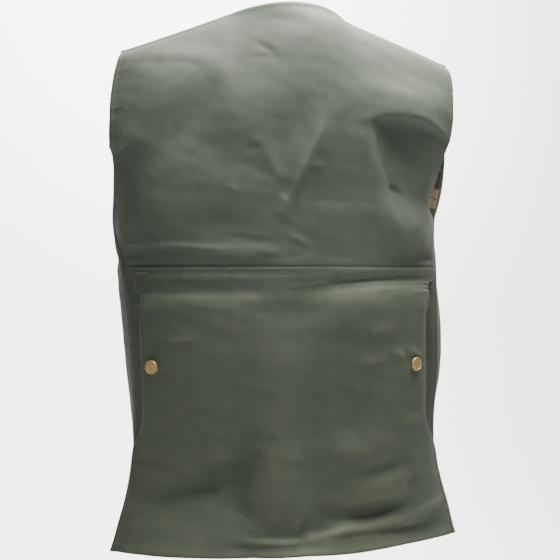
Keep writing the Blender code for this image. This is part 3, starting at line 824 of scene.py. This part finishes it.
def cloth_material(name, colour, worn_colour):
    """Dense olive twill, a little patchy, lighter where it is rubbed, darker where shade is painted in, with
    a low sheen.
    """
    material, tree, shader = new_material(name)
    # A darker olive, for the painted shade.
    dark = tuple(value * 0.3 for value in colour)
    place = add_node(tree, "TexCoord").outputs["Object"]
    flat = add_node(tree, "UVMap", uv_map="cloth").outputs[0]
    worn = add_node(tree, "Attribute", attribute_name="worn", attribute_type="GEOMETRY").outputs["Fac"]
    patches = noise_map(tree, place, 7.0, 5.0, 0.6)
    mottle = noise_map(tree, place, 60.0, 4.0, 0.7)
    soft = noise_map(tree, place, 34.0, 3.0)
    crinkle = noise_map(tree, place, 130.0, 5.0, 0.6)
    slub = noise_map(tree, stretched(tree, flat, 1500.0, 90.0), 1.0)
    weft = noise_map(tree, stretched(tree, flat, 70.0, 1300.0), 1.0)
    wave = twill_wave(tree, flat, SHELL_TWILL)
    tone = varied(tree, 0.12, patches, 0.55)
    tone = varied(tree, tone, mottle, 0.50)
    tone = varied(tree, tone, slub, 0.30)
    tone = arithmetic(tree, "ADD", tone, arithmetic(tree, "MULTIPLY", worn, 0.40), clamp=True)
    # Painted shade: below nought the attribute blends the colour toward the darker olive.
    painted_shade = arithmetic(tree, "MULTIPLY", worn, -0.8, clamp=True)
    colour = blended(tree, tone, colour, worn_colour)
    tree.links.new(blended(tree, painted_shade, colour, dark), shader.inputs["Base Color"])
    tree.links.new(varied(tree, 0.60, mottle, 0.16), shader.inputs["Roughness"])
    folds = ((soft, 0.0020, 0.24), (crinkle, 0.0005, 0.30))
    yarns = ((slub, 0.0002, 0.25), (weft, 0.0002, 0.20), (wave, 0.0002, 0.22))
    bumps(tree, shader, folds + yarns)
    shader.inputs["Specular IOR Level"].default_value = 0.18
    shader.inputs["Sheen Weight"].default_value = 0.05
    shader.inputs["Sheen Roughness"].default_value = 0.45
    shader.inputs["Sheen Tint"].default_value = (0.80, 0.86, 0.70, 1.0)
    return material


def band_mask(tree, run, repeat, start, width):
    """One where a coordinate lies in a band of each repeat, and nought elsewhere."""
    turn = arithmetic(tree, "FRACT", arithmetic(tree, "DIVIDE", run, repeat), 0.0)
    above = arithmetic(tree, "GREATER_THAN", turn, start)
    below = arithmetic(tree, "LESS_THAN", turn, start + width)
    return arithmetic(tree, "MULTIPLY", above, below)


def check_bands(tree, flat, start, width, strength):
    """How much of a check's bands, both across and up, lies at each place."""
    parts = add_node(tree, "SeparateXYZ", {0: flat}).outputs
    across, up = (band_mask(tree, run, sizes().check, start, width) for run in (parts[0], parts[1]))
    return arithmetic(tree, "MULTIPLY", arithmetic(tree, "ADD", across, up), strength, clamp=True)


def lining_material(name):
    """A woven check: broad cream bands and thin dark lines on a brown ground, in both directions."""
    material, tree, shader = new_material(name)
    flat = add_node(tree, "UVMap", uv_map="cloth").outputs[0]
    ground, cream = colours().lining, colours().lining_band
    dark = tuple(value * 0.35 for value in ground)
    colour = blended(tree, check_bands(tree, flat, 0.07, 0.38, 0.75), ground, cream)
    colour = blended(tree, check_bands(tree, flat, 0.80, 0.05, 0.50), colour, cream)
    colour = blended(tree, check_bands(tree, flat, 0.24, 0.04, 0.45), colour, dark)
    fleck = noise_map(tree, stretched(tree, flat, 900.0, 900.0), 1.0)
    shade = arithmetic(tree, "MULTIPLY", fleck, 0.45)
    tree.links.new(blended(tree, shade, colour, dark), shader.inputs["Base Color"])
    bumps(tree, shader, ((fleck, 0.0003, 0.35), (twill_wave(tree, flat, LINING_TWILL), 0.0003, 0.35)))
    shader.inputs["Roughness"].default_value = 0.85
    shader.inputs["Sheen Weight"].default_value = 0.15
    return material


def thread_material(name):
    """Twisted sewing thread, a little lighter than the cloth."""
    material, tree, shader = new_material(name)
    fleck = noise_map(tree, add_node(tree, "TexCoord").outputs["Object"], 900.0)
    light = tuple(min(1.0, value * 1.6) for value in colours().thread)
    tree.links.new(blended(tree, fleck, colours().thread, light), shader.inputs["Base Color"])
    bumps(tree, shader, ((fleck, 0.0001, 0.5),))
    shader.inputs["Roughness"].default_value = 0.6
    return material


def metal_material(name, colour, rough):
    """Aged brass or copper: dull patches, fine scratches and a dark bloom."""
    material, tree, shader = new_material(name)
    place = add_node(tree, "TexCoord").outputs["Object"]
    bloom = noise_map(tree, place, 420.0, 5.0, 0.65)
    grain = noise_map(tree, place, 2600.0, 3.0)
    dark = tuple(value * 0.42 for value in colour)
    share = arithmetic(tree, "MULTIPLY", arithmetic(tree, "SUBTRACT", bloom, 0.42), 2.2, clamp=True)
    tree.links.new(blended(tree, share, colour, dark), shader.inputs["Base Color"])
    tree.links.new(varied(tree, rough + 0.15, bloom, 0.3), shader.inputs["Roughness"])
    bumps(tree, shader, ((grain, 0.00008, 0.35), (bloom, 0.0002, 0.25)))
    shader.inputs["Metallic"].default_value = 1.0
    return material


def plain_material(name, colour, rough):
    material, _, shader = new_material(name)
    shader.inputs["Base Color"].default_value = (*colour, 1.0)
    shader.inputs["Roughness"].default_value = rough
    return material


def kept(name, make, *values):
    """The material of this name, made when it is first asked for."""
    return bpy.data.materials.get(name) or make(name, *values)


def shell():
    return kept("olive_shell", cloth_material, colours().cloth, colours().cloth_worn)


def pocket_shell():
    return kept("olive_pocket", cloth_material, colours().pocket, colours().pocket_worn)


def check_lining():
    return kept("check_lining", lining_material)


def stitch_points():
    """One stitch along X, a length of one: rings of points whose ends dip into the cloth."""
    turn = np.arange(STITCH_SIDES) * 2 * pi / STITCH_SIDES
    points = [(x, w * cos(t) / 2, w * sin(t) / 2 + lift) for x, w, lift in STITCH_RINGS for t in turn]
    faces = []
    for k in range(len(STITCH_RINGS) - 1):
        for i in range(STITCH_SIDES):
            j = (i + 1) % STITCH_SIDES
            this, upper = k * STITCH_SIDES, (k + 1) * STITCH_SIDES
            faces.append([this + i, upper + i, upper + j, this + j])
    last = (len(STITCH_RINGS) - 1) * STITCH_SIDES
    caps = [list(range(STITCH_SIDES)), [last + i for i in reversed(range(STITCH_SIDES))]]
    return np.array(points), faces, caps


def sew(places, along, normals, length):
    """Keeps stitches for the sewing: where each lies, which way it runs, and its cloth's normal."""
    SEWN.append((np.array(places), unit(np.array(along)), unit(np.array(normals)), length))


def sew_line(points, normals, seed):
    """A row of stitches along a line of points on the cloth."""
    length = running(points, 0)
    pitch = sizes().stitch
    count = int(length[-1] / pitch)
    at = (np.arange(count) + 0.5) * length[-1] / max(count, 1)
    at += np.random.default_rng(seed).normal(0, STITCH_JITTER, count) * pitch
    ahead, behind = (between(at + step, length, points) for step in (pitch / 4, -pitch / 4))
    place, lean = between(at, length, points), between(at, length, normals)
    sew(place, ahead - behind, lean, pitch * STITCH_SHARE)


def sew_bar(cloth, x, z, turn=0.0, width=0.011, height=0.0024):
    """A bar of close cross stitches on a cloth at x across and z up, turned by an angle."""
    outer, _ = cloth.layers()
    along = np.array([cos(turn), 0, sin(turn)])
    for layer, lean in enumerate(BAR_LEAN):
        for share in np.linspace(-0.5, 0.5, BAR_THREADS):
            target = np.array([x, 0, z]) + along * width * share
            gap = cloth.gap(target[0], target[2])
            j, i = np.unravel_index(np.argmin(gap), gap.shape)
            normal = cloth.normal[j, i]
            shift = np.array([target[0] - outer[j, i, 0], 0, target[2] - outer[j, i, 2]])
            place = outer[j, i] + shift - normal * (shift @ normal)
            cross = np.array([-along[2] + along[0] * lean, 0, along[0] + along[2] * lean])
            sew([place + normal * BAR_RISE * layer], [cross - normal * (cross @ normal)], [normal], height)


def build_sewing(node):
    """Makes one mesh of all the stitches that were kept."""
    template, faces, caps = stitch_points()
    thread = sizes().thread
    points, polygons = [], []
    base = 0
    for places, along, normals, length in SEWN:
        side = unit(np.cross(normals, along))
        up = np.cross(along, side)
        for p, x, y, z in zip(places, along, side, up):
            points.append(p + template * (length, thread, thread) @ np.array([x, y, z]))
            polygons += [[base + k for k in face] for face in faces + caps]
            base += len(template)
    name = node + "_sewing"
    mesh = bpy.data.meshes.new(name)
    mesh.from_pydata(np.concatenate(points).tolist(), [], polygons)
    mesh.materials.append(kept("sewing_thread", thread_material))
    new_piece(name, mesh)
    SEWN.clear()


class GILET_OT_back(bpy.types.Operator):
    """Builds the back panel with its creases, turned armholes and neck"""

    bl_idname = "gilet.back"
    bl_label = "Back"

    def execute(self, context):
        cloth = Cloth("back")
        cloth.crease(BACK_CREASES)
        cloth.sway_about(1)
        cloth.still_at_top()
        pocket = CLOTHS["game_pocket"]
        cloth.follow(pocket, POCKET_REACH)
        cloth.still_at_sides(UNDERARM + SEAM_REACH)
        across, level = cloth.outer[..., 0], cloth.outer[..., 2]
        first, last = pocket.outer[-1, 0, 0], pocket.outer[-1, -1, 0]
        beside = np.maximum(np.maximum(first - across, across - last), 0)
        # Painted shadow: a thin dark line on the back just above the pocket's top edge, and painted shade
        # over the strips of back seen beside the pocket's open sides.
        cloth.paint_shade(np.hypot(level - POCKET_TOP, beside), width=0.0018, share=1.0)
        for side, width, share in ((0, 0.016, 0.20), (-1, 0.044, 0.90)):
            mouth = np.interp(level, pocket.outer[:, side, 2], pocket.outer[:, side, 0])
            away = np.hypot(across - mouth, 2 * np.maximum(level - POCKET_TOP, 0))
            cloth.paint_shade(away, width, share)
        for side, seed in (("first", 0.4), ("last", 2.1)):
            cloth.edge(side, swell=0.0006, pucker=cloth.armhole_pucker(), seed=seed)
        cloth.edge("top", pucker=0.5, seed=1.2)
        cloth.edge("hem", pucker=0.4, seed=0.9)
        cloth.finish(shell(), check_lining())
        for side, seed in (("first", 11), ("last", 12)):
            cloth.sew_along(side, EDGE_INSET, seed, low=ARMHOLE_FOOT)
            cloth.sew_along(side, SEAM_INSET, seed + 2, high=UNDERARM)
        cloth.sew_along("top", EDGE_INSET, 15)
        for row in BACK_ROWS:
            cloth.sew_across(row, 5, 17)
        build_sewing("back")
        return {"FINISHED"}


class GILET_OT_pocket(bpy.types.Operator):
    """Builds the game pocket that lies over the lower back, open at both sides"""

    bl_idname = "gilet.pocket"
    bl_label = "Game pocket"

    def execute(self, context):
        cloth = Cloth("game_pocket")
        cloth.crease(POCKET_CREASES)
        cloth.sway_about(2)
        for name in ("pocket_stud_left", "pocket_stud_right"):
            cloth.dimple(name, depth=0.0007)
        cloth.still_at_sides(MOUTH_FOOT)
        cloth.edge("first", pucker=0.7, seed=0.7)
        cloth.edge("last", pucker=1.4, seed=1.9)
        cloth.edge("top", width=0.0105, swell=0.0001, pucker=0.55, seed=0.2)
        cloth.edge("hem", width=0.0120, pucker=0.5, seed=2.6)
        # Painted shade: dark lines along the pocket's top edge and its left edge, and a broad painted shadow
        # below its band.
        cloth.paint_shade(cloth.from_top, width=0.0012, share=0.8)
        cloth.paint_shade(cloth.from_first, width=0.0016, share=0.8)
        cloth.paint_shade(cloth.from_top - 0.016, width=0.014, share=0.30)
        cloth.finish(pocket_shell(), pocket_shell())
        for side, inset, seed in (
            ("top", 0.0025, 21),
            ("top", 0.0088, 22),
            ("first", SEAM_INSET, 23),
            ("last", SEAM_INSET, 24),
            ("hem", HEM_INSET, 25),
        ):
            cloth.sew_along(side, inset, seed)
        for row in POCKET_ROWS:
            cloth.sew_across(row, 15, 29)
        sew_bar(cloth, x=-0.2005, z=-0.2945)
        sew_bar(cloth, x=0.1745, z=-0.2960, turn=pi / 2, width=0.020)
        build_sewing("game_pocket")
        return {"FINISHED"}


class GILET_OT_fronts(bpy.types.Operator):
    """Builds the two fronts, the left one lapped over the right"""

    bl_idname = "gilet.fronts"
    bl_label = "Fronts"

    def execute(self, context):
        for node, creases, seed, side, middle in (
            ("front_left", FRONT_LEFT_CREASES, 3, "first", "last"),
            ("front_right", FRONT_RIGHT_CREASES, 4, "last", "first"),
        ):
            cloth = Cloth(node)
            cloth.crease(creases)
            cloth.sway_about(seed)
            cloth.still_at_top()
            if node == "front_left":
                for name in STUD_NODES:
                    if name.startswith("front"):
                        cloth.dimple(name, depth=0.0005)
            cloth.still_at_sides(UNDERARM + SEAM_REACH, (side,))
            cloth.edge(side, pucker=cloth.armhole_pucker(), seed=seed)
            cloth.edge(middle, pucker=0.5, seed=seed + 0.6)
            cloth.edge("top", pucker=0.4, seed=seed + 1.1)
            cloth.edge("hem", pucker=0.5, width=0.0120, seed=seed + 1.9)
            cloth.finish(shell(), shell())
            cloth.sew_along(side, EDGE_INSET, seed * 10, low=ARMHOLE_FOOT)
            cloth.sew_along(side, SEAM_INSET, seed * 10 + 1, high=UNDERARM)
            cloth.sew_along(middle, EDGE_INSET, seed * 10 + 2)
            cloth.sew_along("top", EDGE_INSET, seed * 10 + 3)
            cloth.sew_along("hem", HEM_INSET, seed * 10 + 4)
            build_sewing(node)
        return {"FINISHED"}


class GILET_OT_linings(bpy.types.Operator):
    """Builds the check linings inside the fronts"""

    bl_idname = "gilet.linings"
    bl_label = "Linings"

    def execute(self, context):
        for node in ("lining_left", "lining_right"):
            cloth = Cloth(node)
            cloth.follow(CLOTHS[node.replace("lining", "front")])
            cloth.finish(check_lining(), check_lining())
        return {"FINISHED"}


def stud_place(node):
    """Where a packed stud stands: the middle of its flat base, and its axis away from the cloth."""
    points = np.array([v.co[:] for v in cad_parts[node].data.vertices])
    points = np.unique(points.round(6), axis=0)
    middle = points.mean(axis=0)
    _, _, axes = np.linalg.svd(points - middle)
    axis = axes[2]
    if axis[1] * (-1 if node.startswith("pocket") else 1) < 0:
        axis = -axis
    height = (points - middle) @ axis
    return middle + axis * height.min(), axis


class GILET_OT_studs(bpy.types.Operator):
    """Turns one press stud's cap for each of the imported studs"""

    bl_idname = "gilet.studs"
    bl_label = "Press studs"

    def execute(self, context):
        rim = kept("stud_brass", metal_material, colours().brass, 0.36)
        centre = kept("stud_copper", metal_material, colours().copper, 0.46)
        for node in STUD_NODES:
            place, axis = stud_place(node)
            bpy.ops.object.select_all(action="DESELECT")
            share, low = CAP_OUTLINE[0]
            bpy.ops.mesh.primitive_circle_add(
                vertices=48, radius=CAP_RADIUS * share, fill_type="NGON", location=(0, 0, low)
            )
            cap = context.object
            cap.name = cap.data.name = node + "_cap"
            bpy.ops.object.transform_apply(location=True)
            bpy.ops.object.mode_set(mode="EDIT")
            bpy.ops.mesh.select_all(action="SELECT")
            for following, height in CAP_OUTLINE[1:]:
                bpy.ops.mesh.extrude_region_move(TRANSFORM_OT_translate={"value": (0, 0, height - low)})
                scale = following / share
                bpy.ops.transform.resize(value=(scale, scale, 1), center_override=(0, 0, 0))
                share, low = following, height
            bpy.ops.mesh.poke()
            bpy.ops.mesh.select_all(action="SELECT")
            bpy.ops.mesh.normals_make_consistent(inside=False)
            bpy.ops.object.mode_set(mode="OBJECT")
            cap.data.materials.append(rim)
            cap.data.materials.append(centre)
            for face in cap.data.polygons:
                away = Vector((face.center.x, face.center.y)).length
                if away < CENTRE_SHARE * CAP_RADIUS and face.center.z > 0:
                    face.material_index = 1
            bpy.ops.object.shade_smooth_by_angle(angle=radians(40))
            turn = Vector((0, 0, 1)).rotation_difference(Vector(axis)).to_matrix().to_4x4()
            cap.matrix_world = Matrix.Translation(Vector(place)) @ turn
            bpy.ops.object.transform_apply(location=True, rotation=True, scale=True)
            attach(cap, "root")
            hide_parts(node)
        return {"FINISHED"}


def select_edges(mesh, chosen):
    """Selects the edges in edit mode whose two ends pass a test of their place."""
    bpy.ops.mesh.select_all(action="DESELECT")
    build = bmesh.from_edit_mesh(mesh)
    for edge in build.edges:
        edge.select = all(chosen(v.co) for v in edge.verts)
    bmesh.update_edit_mesh(mesh)


class GILET_OT_stage(bpy.types.Operator):
    """Adds the pale floor and wall, the lights and the camera"""

    bl_idname = "gilet.stage"
    bl_label = "Stage"

    def execute(self, context):
        scene = context.scene
        bpy.ops.object.select_all(action="DESELECT")
        level = HEM - FLOOR_DROP
        bpy.ops.mesh.primitive_plane_add(size=FLOOR_SIZE, location=(0, WALL_AWAY - FLOOR_SIZE / 2, level))
        floor = context.object
        floor.name = "studio_floor"
        bpy.ops.object.transform_apply(location=True)
        bpy.ops.object.mode_set(mode="EDIT")
        bpy.ops.mesh.select_mode(type="EDGE")
        select_edges(floor.data, lambda place: place.y > WALL_AWAY - NEAR)
        bpy.ops.mesh.extrude_edges_move(TRANSFORM_OT_translate={"value": (0, 0, WALL_HEIGHT)})
        select_edges(floor.data, lambda place: place.y > WALL_AWAY - NEAR and place.z < level + NEAR)
        bpy.ops.mesh.bevel(offset=BEND, segments=BEND_STEPS)
        bpy.ops.object.mode_set(mode="OBJECT")
        bpy.ops.object.shade_smooth()
        floor.data.materials.append(plain_material("studio_paper", (0.86, 0.86, 0.85), 0.9))
        for lamp in LAMPS:
            aim = Vector(lamp.aim) - Vector(lamp.place)
            turn = aim.to_track_quat("-Z", "Y").to_euler()
            bpy.ops.object.light_add(type="AREA", location=lamp.place, rotation=turn)
            light = context.object
            light.name = lamp.name
            light.data.size = lamp.size
            light.data.energy = lamp.power
            light.data.color = lamp.colour
        world = scene.world or bpy.data.worlds.new("studio")
        scene.world = world
        world.use_nodes = True
        sky = world.node_tree.nodes["Background"]
        sky.inputs["Color"].default_value = (*SKY_COLOUR, 1.0)
        sky.inputs["Strength"].default_value = SKY_STRENGTH
        bpy.ops.object.camera_add(location=CAMERA_PLACE, rotation=(pi / 2, 0, radians(CAMERA_TURN)))
        camera = context.object
        camera.data.lens = CAMERA_LENS
        camera.data.sensor_width = SENSOR
        scene.camera = camera
        return {"FINISHED"}


class GILET_PT_panel(bpy.types.Panel):
    """Lists the gilet's sizes, colours and steps"""

    bl_idname = "GILET_PT_panel"
    bl_label = "Hunting gilet"
    bl_space_type = "VIEW_3D"
    bl_region_type = "UI"
    bl_category = "Gilet"

    def draw(self, context):
        for settings in (context.scene.gilet_sizes, context.scene.gilet_colours):
            box = self.layout.box()
            for name in settings.bl_rna.properties.keys():
                if name not in ("rna_type", "name"):
                    box.prop(settings, name)
        for step in STEPS:
            self.layout.operator(step.bl_idname)


STEPS = (GILET_OT_pocket, GILET_OT_back, GILET_OT_fronts, GILET_OT_linings, GILET_OT_studs, GILET_OT_stage)
CLASSES = (GiletSizes, GiletColours, *STEPS, GILET_PT_panel)


def register():
    for item in CLASSES:
        bpy.utils.register_class(item)
    bpy.types.Scene.gilet_sizes = bpy.props.PointerProperty(type=GiletSizes)
    bpy.types.Scene.gilet_colours = bpy.props.PointerProperty(type=GiletColours)


def unregister():
    del bpy.types.Scene.gilet_sizes
    del bpy.types.Scene.gilet_colours
    for item in reversed(CLASSES):
        bpy.utils.unregister_class(item)


def main():
    register()
    bpy.ops.gilet.pocket()
    bpy.ops.gilet.back()
    bpy.ops.gilet.fronts()
    bpy.ops.gilet.linings()
    bpy.ops.gilet.studs()
    bpy.ops.gilet.stage()
    bpy.context.view_layer.update()


if __name__ == "__main__":
    main()
